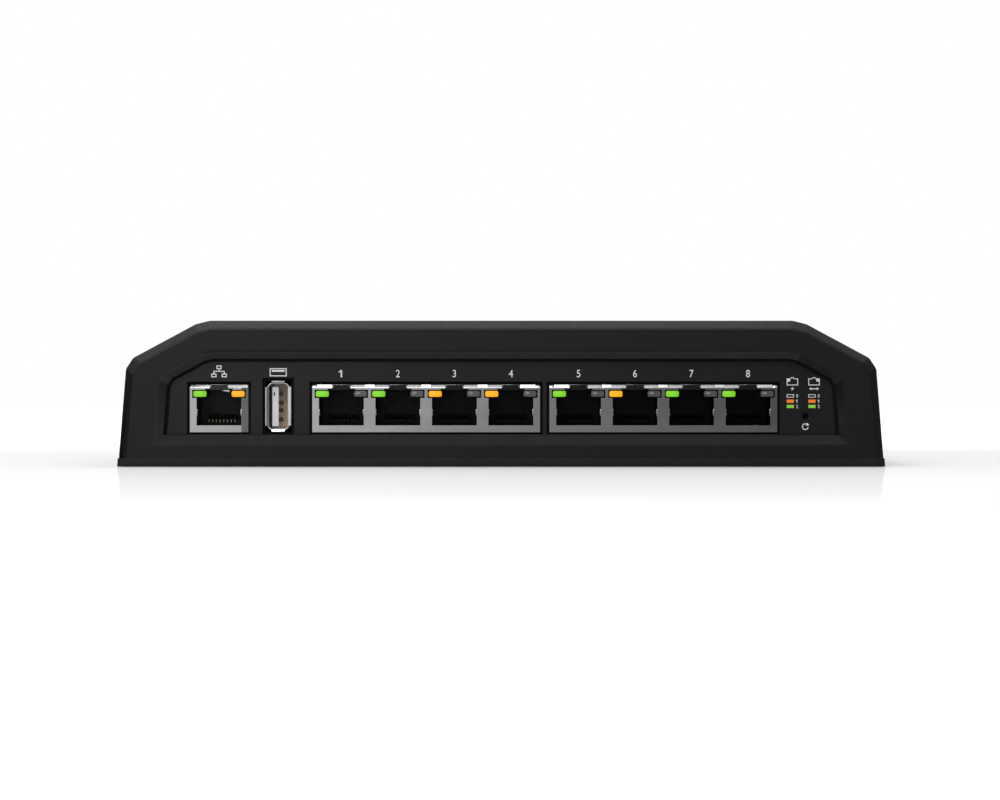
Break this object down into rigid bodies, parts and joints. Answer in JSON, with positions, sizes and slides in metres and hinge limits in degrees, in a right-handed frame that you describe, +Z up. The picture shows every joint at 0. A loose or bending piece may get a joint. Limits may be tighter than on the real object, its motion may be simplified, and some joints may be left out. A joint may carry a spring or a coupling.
{
  "type": "desktop network switch",
  "caption": "Compact desktop network switch: drafted black hood with sloped shoulders on a base tray, recessed row of shielded jacks with status lights, USB socket and sprung reset button.",
  "frame": {"origin": "centre of the footprint, on the surface that the feet stand on", "axes": "+Z up, +X to the right when facing the ports, ports face -Y"},
  "size_m": [0.207, 0.1658, 0.0393],
  "materials": {
    "black_moulding": "fine satin texture",
    "black_rubber": "matt",
    "jack_plastic": "satin",
    "tinned_sheet": "stamped and tinned",
    "screw_steel": "zinc plated",
    "light_green": "lit light pipe",
    "light_amber": "lit light pipe",
    "light_clear": "unlit light pipe",
    "usb_plastic": "satin",
    "circuit_board": "solder mask",
    "chip_epoxy": "moulded",
    "button_plastic": "moulded",
    "black_anodised": "black anodised",
    "ferrite": "sintered",
    "copper_winding": "enamelled wire",
    "capacitor_sleeve": "shrink sleeve",
    "cable_sheath": "satin"
  },
  "bodies": {
    "case": {"top_shell": "black_moulding", "base_tray": "black_moulding", "port_panel": "black_moulding", "rear_panel": "black_moulding", "foot_front_left": "black_rubber", "foot_front_right": "black_rubber", "foot_rear_left": "black_rubber", "foot_rear_right": "black_rubber", "case_screw_front_left": "screw_steel", "case_screw_front_right": "screw_steel", "case_screw_rear_left": "screw_steel", "case_screw_rear_right": "screw_steel", "main_board": "circuit_board", "power_board": "circuit_board", "management_jack_shield": "tinned_sheet", "management_jack_insert": "jack_plastic", "management_jack_contacts": "jack_plastic", "management_light_left": "light_green", "management_light_right": "light_amber", "bank_a_shield": "tinned_sheet", "bank_a_insert": "jack_plastic", "bank_a_contacts": "jack_plastic", "bank_b_shield": "tinned_sheet", "bank_b_insert": "jack_plastic", "bank_b_contacts": "jack_plastic", "port_1_light_left": "light_green", "port_1_light_right": "light_clear", "port_2_light_left": "light_green", "port_2_light_right": "light_clear", "port_3_light_left": "light_amber", "port_3_light_right": "light_clear", "port_4_light_left": "light_amber", "port_4_light_right": "light_clear", "port_5_light_left": "light_green", "port_5_light_right": "light_clear", "port_6_light_left": "light_amber", "port_6_light_right": "light_clear", "port_7_light_left": "light_green", "port_7_light_right": "light_clear", "port_8_light_left": "light_green", "port_8_light_right": "light_clear", "usb_shell": "tinned_sheet", "usb_tongue": "usb_plastic", "reset_switch": "chip_epoxy", "switch_chip": "chip_epoxy", "processor_chip": "chip_epoxy", "chip_heatsink": "black_anodised", "transformer_core": "ferrite", "transformer_winding": "copper_winding", "bulk_capacitor": "capacitor_sleeve", "output_capacitor": "capacitor_sleeve", "power_heatsink": "black_anodised", "line_choke": "copper_winding", "mains_inlet": "jack_plastic", "inlet_pin_line": "tinned_sheet", "inlet_pin_neutral": "tinned_sheet", "inlet_pin_earth": "tinned_sheet", "dc_harness": "cable_sheath"},
    "reset_plunger": {"reset_button": "button_plastic"}
  },
  "joints": [
    {"name": "reset_press", "type": "slide", "parent": "case", "child": "reset_plunger", "axis": [0, 1, 0], "range_m": [0, 0.00025], "stiffness_N_per_m": 4000}
  ]
}
